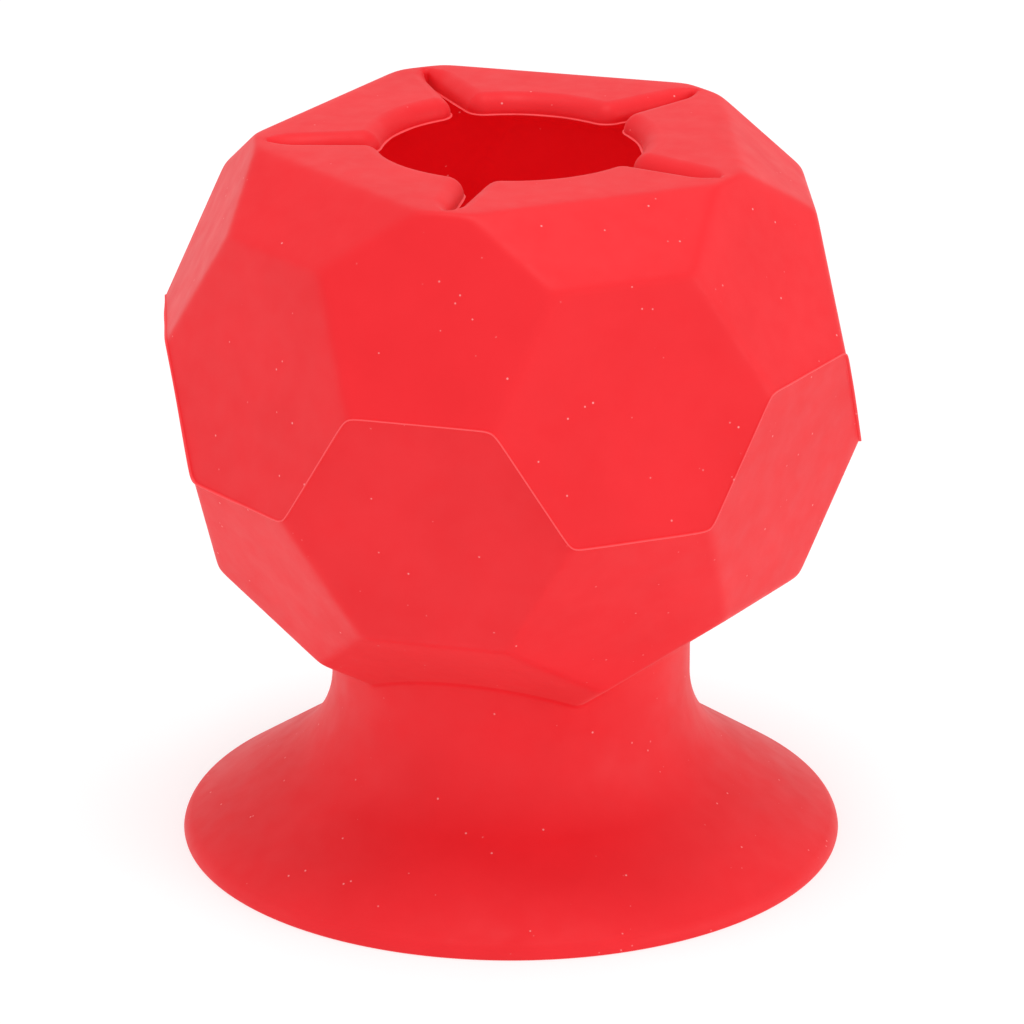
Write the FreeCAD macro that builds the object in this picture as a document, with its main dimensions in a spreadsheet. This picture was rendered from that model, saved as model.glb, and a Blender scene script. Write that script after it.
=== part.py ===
import FreeCAD, Part
import math
import os

import Sketcher
from FreeCAD import Placement, Rotation, Vector

# Hand-sized silicone holder: a hollow faceted ball with a five-flap mouth, on a neck and a suction foot.
# Z is up. The origin is the centre of the circle on which the foot's rim rests. Millimetres and degrees.

DIMENSIONS = {
    # faceted ball
    "ball_radius": 36.0,
    "ball_centre_height": 50.2,
    "flat_offset": 24.6,
    "ball_foot_offset": 31.5,
    "ball_wall": 2.2,
    "floor_thickness": 2.5,
    "facet_edge_round": 1.6,
    # mouth flaps
    "flap_count": 5,
    "flap_thickness": 2.0,
    "hinge_inset": 2.4,
    "hinge_clearance": 0.06,
    "knuckle_half_length": 13.2,
    "shoulder_depth": 1.0,
    "tip_half_width": 5.6,
    "flap_reach": 10.0,
    "mouth_radius": 13.2,
    "mouth_corner_round": 2.0,
    "mouth_edge_round": 1.8,
    "flap_down_limit": 65.0,
    "flap_up_limit": 50.0,
    # suction foot
    "neck_radius": 18.4,
    "neck_top_offset": 27.0,
    "foot_fillet": 11.2,
    "foot_slope": 33.8,
    "foot_wall": 2.0,
    "rim_radius": 34.0,
    "rim_edge_round": 2.0,
    "dome_height": 12.0,
    "dome_round": 4.0,
}

# Measures that follow from the driving dimensions. The foot's outline, read from the rim inwards: a round
# lip, a straight slope up to the shoulder, and a hollow fillet up to the neck. The inside runs parallel.
DERIVED = {
    "slope_sin": "=sin(foot_slope * 1 deg)",
    "slope_cos": "=cos(foot_slope * 1 deg)",
    "lip_radius": "=rim_radius - rim_edge_round * (1 - slope_sin)",
    "lip_height": "=rim_edge_round * slope_cos",
    "shoulder_radius": "=neck_radius + foot_fillet * (1 - slope_sin)",
    "shoulder_height": "=lip_height + (lip_radius - shoulder_radius) * slope_sin / slope_cos",
    "neck_foot_height": "=shoulder_height + foot_fillet * slope_cos",
    "slope_run": "=slope_cos / slope_sin",
    "wall_drop": "=lip_height - foot_wall * slope_cos",
    "sole_radius": "=lip_radius - foot_wall * slope_sin + wall_drop * slope_run",
    "rim_inner_radius": "=sole_radius - lip_height * slope_run",
    "dome_radius": "=sole_radius - dome_height * slope_run",
    "ball_foot_height": "=ball_centre_height - ball_foot_offset",
    "floor_height": "=ball_foot_height + floor_thickness",
    "neck_top_height": "=ball_centre_height - neck_top_offset",
    "mouth_height": "=ball_centre_height + flat_offset",
}

# The ball is cut from an icosahedron standing on a corner. Its other corners lie in two level rings of five,
# and the upper ring starts at the front.
CORNERS_PER_RING = 5
RING_STEP = 360.0 / CORNERS_PER_RING
FIRST_RING_ANGLE = -90.0
TOLERANCE = 0.01

doc = FreeCAD.newDocument("suction_ball_holder")


def make_sheet():
    sheet = doc.addObject("Spreadsheet::Sheet", "Sheet")
    for row, (alias, value) in enumerate({**DIMENSIONS, **DERIVED}.items(), start=1):
        sheet.set(f"A{row}", alias)
        sheet.set(f"B{row}", str(value))
        sheet.setAlias(f"B{row}", alias)
    doc.recompute()
    return sheet


sheet = make_sheet()


def size(alias):
    return float(sheet.get(alias))


def bind(obj, **formulas):
    for name, formula in formulas.items():
        obj.setExpression(name, formula)


# Shared measures, worked out from the sheet.

EDGES_PER_RADIUS = 4.0 / math.sqrt(58.0 + 18.0 * math.sqrt(5.0))
facet_edge = size("ball_radius") * EDGES_PER_RADIUS
# The faceted ball is an icosahedron of three times the edge with every corner cut off at a third.
corner_radius = 3.0 * facet_edge * math.sin(math.radians(RING_STEP))
hexagon_distance = facet_edge * math.sqrt(3.0) / 4.0 * (3.0 + math.sqrt(5.0))
hexagon_lean = math.degrees(math.acos(hexagon_distance / corner_radius))

ball_centre = Vector(0, 0, size("ball_centre_height"))


def mouth_apothem():
    """Distance from the ball's axis to the mouth's long edges, where the hexagons reach the flat top."""
    lean = math.radians(hexagon_lean)
    return (hexagon_distance - size("flat_offset") * math.cos(lean)) / math.sin(lean)


hinge_apothem = mouth_apothem() - size("hinge_inset")
hinge_height = size("mouth_height") - size("flap_thickness") / 2.0


# The faceted ball


def ring_corner(radius, step, side):
    """Corner number step of the upper (side 1) or lower (side -1) ring of the icosahedron."""
    height = radius / math.sqrt(5.0)
    angle = math.radians(FIRST_RING_ANGLE + RING_STEP * (step if side > 0 else step + 0.5))
    return Vector(2 * height * math.cos(angle), 2 * height * math.sin(angle), side * height)


def icosahedron_corners(radius):
    upper = [ring_corner(radius, step, 1) for step in range(CORNERS_PER_RING)]
    lower = [ring_corner(radius, step, -1) for step in range(CORNERS_PER_RING)]
    return [Vector(0, 0, radius)] + upper + lower + [Vector(0, 0, -radius)]


def cut_point(start, other):
    """Where the corner at start is cut off along its edge towards other."""
    return start + (other - start) / 3.0


def flat_face(points):
    return Part.Face(Part.makePolygon(points + [points[0]]))


def faceted_ball(circumradius):
    """A truncated icosahedron: twelve pentagons and twenty hexagons, a pentagon above and below."""
    corners = icosahedron_corners(corner_radius * circumradius / size("ball_radius"))
    edge = corners[0].distanceToPoint(corners[1])
    neighbours = {
        i: [
            j
            for j, other in enumerate(corners)
            if j != i and corner.distanceToPoint(other) < edge + TOLERANCE
        ]
        for i, corner in enumerate(corners)
    }
    faces = []
    for i, corner in enumerate(corners):
        points = [cut_point(corner, corners[j]) for j in neighbours[i]]
        middle = sum(points, Vector()) / len(points)
        across = points[0] - middle
        beside = corner.cross(across).normalize() * across.Length
        points.sort(key=lambda p: math.atan2((p - middle).dot(beside), (p - middle).dot(across)))
        faces.append(flat_face(points))
    for i in range(len(corners)):
        for j in neighbours[i]:
            for k in neighbours[i]:
                if i < j < k and k in neighbours[j]:
                    loop = [(i, j), (j, i), (j, k), (k, j), (k, i), (i, k)]
                    faces.append(flat_face([cut_point(corners[a], corners[b]) for a, b in loop]))
    solid = Part.Solid(Part.Shell(faces))
    if solid.Volume < 0:
        solid.reverse()
    return solid


def parting_zigzag():
    """The twenty facet corners along which the upper and lower halves meet, in order round the ball."""
    points = []
    for step in range(CORNERS_PER_RING):
        upper = ring_corner(corner_radius, step, 1)
        next_upper = ring_corner(corner_radius, step + 1, 1)
        before = ring_corner(corner_radius, step - 1, -1)
        after = ring_corner(corner_radius, step, -1)
        points += [cut_point(upper, before), cut_point(upper, after)]
        points += [cut_point(after, upper), cut_point(after, next_upper)]
    return points


def parting_crown():
    """All that lies above the parting line: a cup with its point at the ball's centre."""
    past_ball = 1.5
    top = 2.0 * size("ball_radius")
    brim = [point * past_ball for point in parting_zigzag()]
    above = [Vector(point.x, point.y, top) for point in brim]
    faces = [flat_face(above)]
    for i, point in enumerate(brim):
        j = (i + 1) % len(brim)
        faces.append(flat_face([Vector(), point, brim[j]]))
        faces.append(flat_face([point, brim[j], above[j], above[i]]))
    solid = Part.Solid(Part.Shell(faces))
    if solid.Volume < 0:
        solid.reverse()
    return solid


def shape_object(name, shape, placement):
    obj = doc.addObject("Part::Feature", name)
    obj.Shape = shape
    obj.Placement = placement
    return obj


def boolean(kind, name, base, tool):
    obj = doc.addObject(kind, name)
    obj.Base = base
    obj.Tool = tool
    return obj


def disc(name, base_height, height_formula):
    """A wide round slab used to cut the ball at a level plane."""
    obj = doc.addObject("Part::Cylinder", name)
    bind(obj, Radius="Sheet.ball_radius * 2", Height=height_formula)
    obj.Placement = Placement(Vector(0, 0, base_height), Rotation())
    return obj


def soften(name, base, is_soft):
    """Round the edges of base that is_soft picks, and leave the rest sharp."""
    doc.recompute()
    radius = size("facet_edge_round")
    obj = doc.addObject("Part::Fillet", name)
    obj.Base = base
    obj.Edges = [(n, radius, radius) for n, edge in enumerate(base.Shape.Edges, start=1) if is_soft(edge)]
    return obj


def on_outside(edge):
    """True for an edge of the outer facets; the parting faces point at the ball's centre."""
    middle = edge.valueAt((edge.FirstParameter + edge.LastParameter) / 2.0)
    half_way = size("ball_radius") / 2.0
    starts_out = all(vertex.Point.distanceToPoint(ball_centre) > half_way for vertex in edge.Vertexes)
    return starts_out and not on_parting(middle)


def on_parting(point):
    zigzag = [corner + ball_centre for corner in parting_zigzag()]
    for i, start in enumerate(zigzag):
        end = zigzag[(i + 1) % len(zigzag)]
        if Part.LineSegment(start, end).toShape().distToShape(Part.Vertex(point))[0] < TOLERANCE:
            return True
    return False


def make_shells():
    at_centre = Placement(ball_centre, Rotation())
    inner_radius = size("ball_radius") * (1.0 - size("ball_wall") / hexagon_distance)
    outer = shape_object("outer_ball", faceted_ball(size("ball_radius")), at_centre)
    inner = shape_object("inner_ball", faceted_ball(inner_radius), at_centre)
    crown = shape_object("parting_crown", parting_crown(), at_centre)

    body_slab = disc("body_slab", size("ball_foot_height"), "Sheet.mouth_height - Sheet.ball_foot_height")
    hollow_slab = disc(
        "hollow_slab",
        size("floor_height"),
        "Sheet.mouth_height - Sheet.flap_thickness - Sheet.floor_height",
    )
    flat_ball = boolean("Part::Common", "flat_ball", outer, body_slab)
    hollow = boolean("Part::Common", "hollow", inner, hollow_slab)

    upper_block = boolean("Part::Common", "upper_block", flat_ball, crown)
    upper_soft = soften("upper_soft", upper_block, on_outside)
    upper_open = boolean("Part::Cut", "upper_open", upper_soft, hollow)
    upper_mouth = boolean("Part::Cut", "upper_mouth", upper_open, make_mouth_cutter())
    upper = boolean("Part::Cut", "upper_shell", upper_mouth, make_seat_cutters())

    lower_block = boolean("Part::Cut", "lower_block", flat_ball, crown)
    lower_soft = soften("lower_soft", lower_block, on_outside)
    lower = boolean("Part::Cut", "lower_shell", lower_soft, hollow)
    return upper, lower, lower_soft


# The mouth


def flap_angle(number):
    """Direction from the ball's axis to the middle of a flap's hinge."""
    return FIRST_RING_ANGLE + RING_STEP * (number + 0.5)


def flap_placement(number):
    """Places X along the hinge and Y towards the mouth's middle, at mid thickness of the flap."""
    angle = math.radians(flap_angle(number))
    middle = Vector(hinge_apothem * math.cos(angle), hinge_apothem * math.sin(angle), hinge_height)
    return Placement(middle, Rotation(Vector(0, 0, 1), flap_angle(number) + 90.0))


def make_mouth_cutter():
    """Five-sided opening in the flat top, one side under each flap's hinge."""
    obj = doc.addObject("Part::Prism", "mouth_cutter")
    half_side = 180.0 / size("flap_count")
    obj.Polygon = int(size("flap_count"))
    obj.Circumradius = hinge_apothem / math.cos(math.radians(half_side))
    bind(obj, Height="Sheet.flap_thickness * 4")
    below = size("mouth_height") - 2.0 * size("flap_thickness")
    obj.Placement = Placement(Vector(0, 0, below), Rotation(Vector(0, 0, 1), FIRST_RING_ANGLE))
    return obj


def make_seat_cutter(number):
    """Room for one flap's round root, and for the flap at each end of its swing."""
    half_height = size("flap_thickness") / 2.0 + size("hinge_clearance")
    half_length = hinge_apothem * math.tan(math.radians(180.0 / size("flap_count")))
    place = flap_placement(number)
    root = doc.addObject("Part::Cylinder", f"root_seat_{number + 1}")
    bind(root, Radius="Sheet.flap_thickness / 2 + Sheet.hinge_clearance")
    root.Height = 2.0 * half_length
    root.Placement = place * Placement(Vector(-half_length, 0, 0), Rotation(Vector(0, 1, 0), 90.0))
    shapes = [root]
    for name, swing in (("down", -size("flap_down_limit")), ("up", size("flap_up_limit"))):
        swept = doc.addObject("Part::Box", f"swing_{name}_{number + 1}")
        bind(
            swept,
            Width="Sheet.flap_thickness * 1.5",
            Height="Sheet.flap_thickness + 2 * Sheet.hinge_clearance",
        )
        swept.Length = 2.0 * half_length
        corner = Placement(Vector(-half_length, 0, -half_height), Rotation())
        swept.Placement = place * Placement(Vector(), Rotation(Vector(1, 0, 0), swing)) * corner
        shapes.append(swept)
    seat = doc.addObject("Part::MultiFuse", f"seat_{number + 1}")
    seat.Shapes = shapes
    return seat


def make_seat_cutters():
    cutters = doc.addObject("Part::MultiFuse", "seats")
    cutters.Shapes = [make_seat_cutter(number) for number in range(int(size("flap_count")))]
    return cutters


def origin_plane(body, role):
    return next(feature for feature in body.Origin.OriginFeatures if feature.Role == role)


def add_sketch(body, name, role):
    sketch = body.newObject("Sketcher::SketchObject", name)
    sketch.AttachmentSupport = [(origin_plane(body, role), "")]
    sketch.MapMode = "FlatFace"
    return sketch


def constrain(sketch, formula, *constraint):
    index = sketch.addConstraint(Sketcher.Constraint(*constraint))
    if formula:
        sketch.setExpression(f"Constraints[{index}]", formula)


START, END, MIDDLE = 1, 2, 3
SKETCH_ORIGIN = (-1, START)


def coordinate(cell):
    """Value and formula of an outline's coordinate: a cell's alias, -alias, or None for zero."""
    if cell is None:
        return 0.0, None
    if cell.startswith("-"):
        return -size(cell[1:]), f"-Sheet.{cell[1:]}"
    return size(cell), f"Sheet.{cell}"


def end_at(sketch, line, point):
    return START if sketch.getPoint(line, START).distanceToPoint(point) < 1e-6 else END


def draw_outline(sketch, corners, arc_from=None, arc_through=None, arc_radius=None):
    """A closed outline through corners, each a pair of cells: straight, but for the arc after arc_from."""
    places = [(coordinate(x), coordinate(y)) for x, y in corners]
    points = [Vector(x[0], y[0], 0) for x, y in places]
    count = len(points)
    for i, point in enumerate(points):
        following = points[(i + 1) % count]
        if i == arc_from:
            curve = Part.Arc(point, arc_through, following)
        else:
            curve = Part.LineSegment(point, following)
        sketch.addGeometry(curve)
    for i, point in enumerate(points):
        near = end_at(sketch, i, point)
        before = (i - 1) % count
        constrain(sketch, None, "Coincident", before, end_at(sketch, before, point), i, near)
        (x, x_formula), (y, y_formula) = places[i]
        constrain(sketch, x_formula, "DistanceX", *SKETCH_ORIGIN, i, near, x)
        constrain(sketch, y_formula, "DistanceY", *SKETCH_ORIGIN, i, near, y)
    if arc_from is not None:
        constrain(sketch, f"Sheet.{arc_radius}", "Radius", arc_from, size(arc_radius))


def edge_names(shape, is_wanted):
    return [f"Edge{n}" for n, edge in enumerate(shape.Edges, start=1) if is_wanted(edge)]


def round_edges(body, name, base, radius_formula, is_wanted):
    doc.recompute()
    fillet = body.newObject("PartDesign::Fillet", name)
    fillet.Base = (base, edge_names(base.Shape, is_wanted))
    bind(fillet, Radius=radius_formula)
    return fillet


def make_flap(number):
    """One flap: a plate cut round at the mouth, its free edges rounded above, with a round root."""
    body = doc.addObject("PartDesign::Body", f"mouth_flap_{number + 1}")

    plan = add_sketch(body, f"flap_plan_{number + 1}", "XY_Plane")
    draw_outline(plan, [
        ("-knuckle_half_length", None),
        ("knuckle_half_length", None),
        ("knuckle_half_length", "shoulder_depth"),
        ("tip_half_width", "flap_reach"),
        ("-tip_half_width", "flap_reach"),
        ("-knuckle_half_length", "shoulder_depth"),
    ])
    plate = body.newObject("PartDesign::Pad", f"plate_{number + 1}")
    plate.Profile = plan
    plate.Midplane = True
    bind(plate, Length="Sheet.flap_thickness")

    mouth = add_sketch(body, f"mouth_circle_{number + 1}", "XY_Plane")
    mouth.addGeometry(Part.Circle(Vector(0, hinge_apothem, 0), Vector(0, 0, 1), size("mouth_radius")))
    constrain(mouth, "Sheet.mouth_radius", "Radius", 0, size("mouth_radius"))
    constrain(mouth, None, "DistanceX", *SKETCH_ORIGIN, 0, MIDDLE, 0)
    constrain(mouth, None, "DistanceY", *SKETCH_ORIGIN, 0, MIDDLE, hinge_apothem)
    arc = body.newObject("PartDesign::Pocket", f"mouth_arc_{number + 1}")
    arc.Profile = mouth
    arc.Midplane = True
    bind(arc, Length="Sheet.flap_thickness * 2")

    mouth_middle = Vector(0, hinge_apothem, 0)
    top = size("flap_thickness") / 2.0

    def at_mouth_corner(edge):
        upright = abs(edge.BoundBox.ZLength - 2.0 * top) < TOLERANCE and edge.BoundBox.XLength < TOLERANCE
        foot = Vector(edge.BoundBox.Center.x, edge.BoundBox.Center.y, 0)
        return upright and abs(foot.distanceToPoint(mouth_middle) - size("mouth_radius")) < TOLERANCE

    def on_free_top(edge):
        level = edge.BoundBox.ZMin > top - TOLERANCE
        return level and edge.BoundBox.YMax > size("shoulder_depth") + TOLERANCE

    corners = round_edges(body, f"corners_{number + 1}", arc, "Sheet.mouth_corner_round", at_mouth_corner)
    rounded = round_edges(body, f"rounded_{number + 1}", corners, "Sheet.mouth_edge_round", on_free_top)

    section = add_sketch(body, f"root_section_{number + 1}", "YZ_Plane")
    section.addGeometry(Part.Circle(Vector(), Vector(0, 0, 1), top))
    constrain(section, "Sheet.flap_thickness / 2", "Radius", 0, top)
    constrain(section, None, "Coincident", 0, MIDDLE, *SKETCH_ORIGIN)
    doc.recompute()
    knuckle = body.newObject("PartDesign::Pad", f"root_{number + 1}")
    knuckle.Profile = section
    knuckle.Midplane = True
    bind(knuckle, Length="Sheet.knuckle_half_length * 2")
    body.Tip = knuckle
    body.Placement = flap_placement(number)
    return body


# The foot


def make_turned(name, corners, **arc):
    """A solid of revolution about Z. Each corner is its radius and its height."""
    body = doc.addObject("PartDesign::Body", name)
    outline = add_sketch(body, f"{name}_outline", "XZ_Plane")
    draw_outline(outline, corners, **arc)
    turned = body.newObject("PartDesign::Revolution", f"{name}_turned")
    turned.Profile = outline
    turned.ReferenceAxis = (outline, ["V_Axis"])
    turned.Angle = 360.0
    body.Tip = turned
    return body


def middle_of_arc(centre, radius, first_angle, last_angle):
    angle = math.radians((first_angle + last_angle) / 2.0)
    return centre + Vector(radius * math.cos(angle), radius * math.sin(angle), 0)


def make_rim():
    """The sealing lip: the foot's outermost ring, flat below, which rests on the surface."""
    centre = Vector(size("rim_radius") - size("rim_edge_round"), 0, 0)
    corners = [
        ("sole_radius", None),
        ("rim_radius", None),
        ("lip_radius", "lip_height"),
        ("rim_inner_radius", "lip_height"),
    ]
    through = middle_of_arc(centre, size("rim_edge_round"), 0.0, 90.0 - size("foot_slope"))
    return make_turned("sealing_rim", corners, arc_from=1, arc_through=through, arc_radius="rim_edge_round")


def make_skirt():
    """The flexible skirt above the rim, closed over the suction hollow, up to where the neck begins."""
    centre = Vector(size("neck_radius") + size("foot_fillet"), size("neck_foot_height"), 0)
    corners = [
        (None, "dome_height"),
        ("dome_radius", "dome_height"),
        ("rim_inner_radius", "lip_height"),
        ("lip_radius", "lip_height"),
        ("shoulder_radius", "shoulder_height"),
        ("neck_radius", "neck_foot_height"),
        (None, "neck_foot_height"),
    ]
    through = middle_of_arc(centre, size("foot_fillet"), 180.0, 270.0 - size("foot_slope"))
    body = make_turned("suction_skirt", corners, arc_from=4, arc_through=through, arc_radius="foot_fillet")

    def at_dome_edge(edge):
        box = edge.BoundBox
        level = abs(box.ZMin - size("dome_height")) < TOLERANCE and box.ZLength < TOLERANCE
        return level and abs(box.XMax - size("dome_radius")) < TOLERANCE

    body.Tip = round_edges(body, "dome_rounding", body.Tip, "Sheet.dome_round", at_dome_edge)
    return body


def make_neck(ball_end):
    """A round stem, hollowed at its top to the shape of the ball's lower end, which sits in it."""
    corners = [
        (None, "neck_foot_height"),
        ("neck_radius", "neck_foot_height"),
        ("neck_radius", "neck_top_height"),
        (None, "neck_top_height"),
    ]
    stem = make_turned("neck_stem", corners)
    return boolean("Part::Cut", "neck", stem, ball_end)


def check_document():
    doc.recompute()
    for obj in doc.Objects:
        if "Invalid" in obj.State or "Error" in obj.State:
            raise RuntimeError(f"{obj.Name} failed: {obj.State}")


def write_nodes(nodes):
    for node in nodes:
        if node.Shape.isNull() or not node.Shape.isValid():
            raise RuntimeError(f"{node.Name} has no valid shape")
    os.makedirs("parts", exist_ok=True)
    for node in nodes:
        node.Shape.exportStep(os.path.join("parts", f"{node.Label}.step"))
        print(f"{node.Label}: {node.Shape.Volume:.0f} mm3, {len(node.Shape.Solids)} solid")


upper_shell, lower_shell, ball_end = make_shells()
nodes = [upper_shell, lower_shell]
nodes += [make_flap(number) for number in range(int(size("flap_count")))]
nodes += [make_neck(ball_end), make_skirt(), make_rim()]
check_document()
write_nodes(nodes)
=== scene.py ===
import math

import bmesh
import bpy
import numpy as np
from mathutils import Matrix, Vector
from mathutils.geometry import delaunay_2d_cdt


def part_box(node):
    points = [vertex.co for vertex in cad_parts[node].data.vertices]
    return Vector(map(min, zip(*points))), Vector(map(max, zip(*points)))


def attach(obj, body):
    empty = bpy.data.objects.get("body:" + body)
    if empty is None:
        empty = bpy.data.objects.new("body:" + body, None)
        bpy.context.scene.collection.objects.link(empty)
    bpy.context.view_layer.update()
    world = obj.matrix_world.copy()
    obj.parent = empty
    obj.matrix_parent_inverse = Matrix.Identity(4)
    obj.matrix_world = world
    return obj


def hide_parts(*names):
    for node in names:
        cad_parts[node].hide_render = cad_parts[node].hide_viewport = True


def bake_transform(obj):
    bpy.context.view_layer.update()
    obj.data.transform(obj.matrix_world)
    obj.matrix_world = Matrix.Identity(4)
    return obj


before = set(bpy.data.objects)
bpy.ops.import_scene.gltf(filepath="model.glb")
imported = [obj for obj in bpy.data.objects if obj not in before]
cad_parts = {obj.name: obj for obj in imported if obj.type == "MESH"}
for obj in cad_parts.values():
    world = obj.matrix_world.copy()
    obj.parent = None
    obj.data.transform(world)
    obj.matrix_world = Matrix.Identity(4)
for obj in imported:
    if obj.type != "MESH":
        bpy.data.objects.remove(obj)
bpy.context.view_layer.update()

# A moulded silicone ball on a suction foot. The shapes are worked out in millimetres about the
# ball's centre, z up, and turned into metres in the part's frame when a mesh is made.
MM = 0.001

# -------- sizes read from the frame
FLAT_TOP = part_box("upper_shell")[1].z / MM
FLAT_OFFSET = 24.6           # the flat top is this far above the ball's centre
CENTRE_HEIGHT = FLAT_TOP - FLAT_OFFSET
BALL_FOOT_OFFSET = CENTRE_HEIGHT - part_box("lower_shell")[0].z / MM
NECK_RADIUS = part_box("neck")[1].x / MM
NECK_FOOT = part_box("neck")[0].z / MM
LIP_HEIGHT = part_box("sealing_rim")[1].z / MM
RIM_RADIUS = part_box("sealing_rim")[1].x / MM


def farthest_from_centre(node):
    """Reach of a node's farthest point from the ball's centre."""
    points = np.array([v.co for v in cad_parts[node].data.vertices]) / MM
    return float(np.linalg.norm(points - (0, 0, CENTRE_HEIGHT), axis=1).max())


BALL_RADIUS = farthest_from_centre("lower_shell")

# -------- sizes of the moulding
WALL_SCALE = 0.9332          # the inside of the ball is the outside made smaller by this
FLAP_THICKNESS = 2.0
FLOOR_THICKNESS = 2.5
HINGE_APOTHEM = 19.657       # from the ball's axis to the line a flap bends about
SEAM_OUTSET = 0.85           # a flap's mesh starts this far outside its bending line
MOUTH_RADIUS = 13.2
MOUTH_CORNER = 2.0
SLIT_TIP_RADIUS = 24.2       # from the ball's axis to a slit's closed end
SLIT_TIP_HALF = 0.25
SLIT_MOUTH_HALF = 1.035
TOP_EDGE_ROUND = 1.8         # rounding along the flaps' upper edges
TIP_EDGE_ROUND = 0.6         # what is left of it at a slit's end
ROUND_FADE = 2.6             # it shrinks over this length of the slit
SHELF_RADIUS = 24.4          # where a flap meets the shell past its slits' ends
EDGE_SOFTNESS = 0.2          # an edge between two facets gets about 7 to 9 times this as radius

FOOT_FILLET = 11.2           # from the neck to the foot's slope
FOOT_SLOPE = math.radians(33.8)
RIM_ROUND = 2.0
RIM_INNER_RADIUS = 29.517
RIM_BEVEL = 0.22             # between the rim's rounding and its flat sole
DOME_RADIUS = 14.075         # the hollow under the foot
DOME_HEIGHT = 12.0
DOME_ROUND = 4.0

SIDES = 5
STEP = math.radians(72)      # from one slit to the next
HALF_STEP = STEP / 2
FIRST = math.radians(-90)    # the first slit points to the front
SAME = 1e-6                  # lengths closer than this are the same
NEWTON_PASSES = 12

# ======== the facets
# The ball is an icosahedron whose corners are cut off a third of the way along each edge.
EDGES_PER_RADIUS = 4 / math.sqrt(58 + 18 * math.sqrt(5))
EDGE = BALL_RADIUS * EDGES_PER_RADIUS
CORNER_REACH = 3 * EDGE * math.sin(STEP)     # from the centre to a corner of the whole icosahedron


def unit(v):
    v = np.asarray(v, float)
    return v / np.linalg.norm(v, axis=-1, keepdims=True)


def lengths(v):
    """Each row's length, never quite zero."""
    return np.maximum(np.linalg.norm(v, axis=1), 1e-9)


def circle(turns):
    """Ways out at these turns."""
    return np.column_stack([np.cos(turns), np.sin(turns)])


def at_height(plan, height):
    """Places in plan, at a height."""
    return np.column_stack([plan, np.full(len(plan), height)])


def turned(points, angle):
    c, s = math.cos(angle), math.sin(angle)
    out = np.array(points, float)
    out[..., 0] = points[..., 0] * c - points[..., 1] * s
    out[..., 1] = points[..., 0] * s + points[..., 1] * c
    return out


def other_half(points, turn=HALF_STEP):
    """The same points seen from the other half of the ball, which is the first one turned over."""
    out = turned(points, turn)
    out[..., 2] = -out[..., 2]
    return out


def back_from_other_half(points):
    return other_half(points, -HALF_STEP)


def ring_corner(side, level):
    """A corner of the icosahedron whose cut corners make the ball: level 1 is the upper ring."""
    angle = FIRST + STEP * side + (0 if level > 0 else HALF_STEP)
    height = CORNER_REACH / math.sqrt(5)
    return np.array([2 * height * math.cos(angle), 2 * height * math.sin(angle), level * height])


APEX = np.array([0, 0, CORNER_REACH])
UPPER = [ring_corner(k % SIDES, 1) for k in range(SIDES + 1)]
LOWER = [ring_corner(k % SIDES, -1) for k in range(-1, SIDES)]      # LOWER[k + 1] follows UPPER[k]


def near(a, b):
    """Where the cut at corner a meets the edge from a to b."""
    return a + (b - a) / 3


def hexagon(a, b, c):
    """What is left of an icosahedron's face."""
    return [near(a, b), near(b, a), near(b, c), near(c, b), near(c, a), near(a, c)]


def pentagon(side):
    """The cut at one of the upper ring's corners."""
    before = UPPER[(side - 1) % SIDES]
    around = [APEX, UPPER[side + 1], LOWER[side + 1], LOWER[side], before]
    return [near(UPPER[side], p) for p in around]


def clip_below(corners, height):
    """The part of a polygon below a level."""
    kept = []
    for a, b in zip(corners, corners[1:] + corners[:1]):
        if a[2] <= height:
            kept.append(a)
        if (a[2] - height) * (b[2] - height) < 0:
            kept.append(a + (b - a) * (height - a[2]) / (b[2] - a[2]))
    return kept


PARTING_CORNERS = []         # along the sharp parting line, in order
for k in range(SIDES):
    PARTING_CORNERS += [near(UPPER[k], LOWER[k]), near(UPPER[k], LOWER[k + 1])]
    PARTING_CORNERS += [near(LOWER[k + 1], UPPER[k]), near(LOWER[k + 1], UPPER[k + 1])]


def on_parting(point, scale):
    """Whether a facet's corner is one of the parting line's."""
    return min(np.linalg.norm(p * scale - point) for p in PARTING_CORNERS) < SAME


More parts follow.
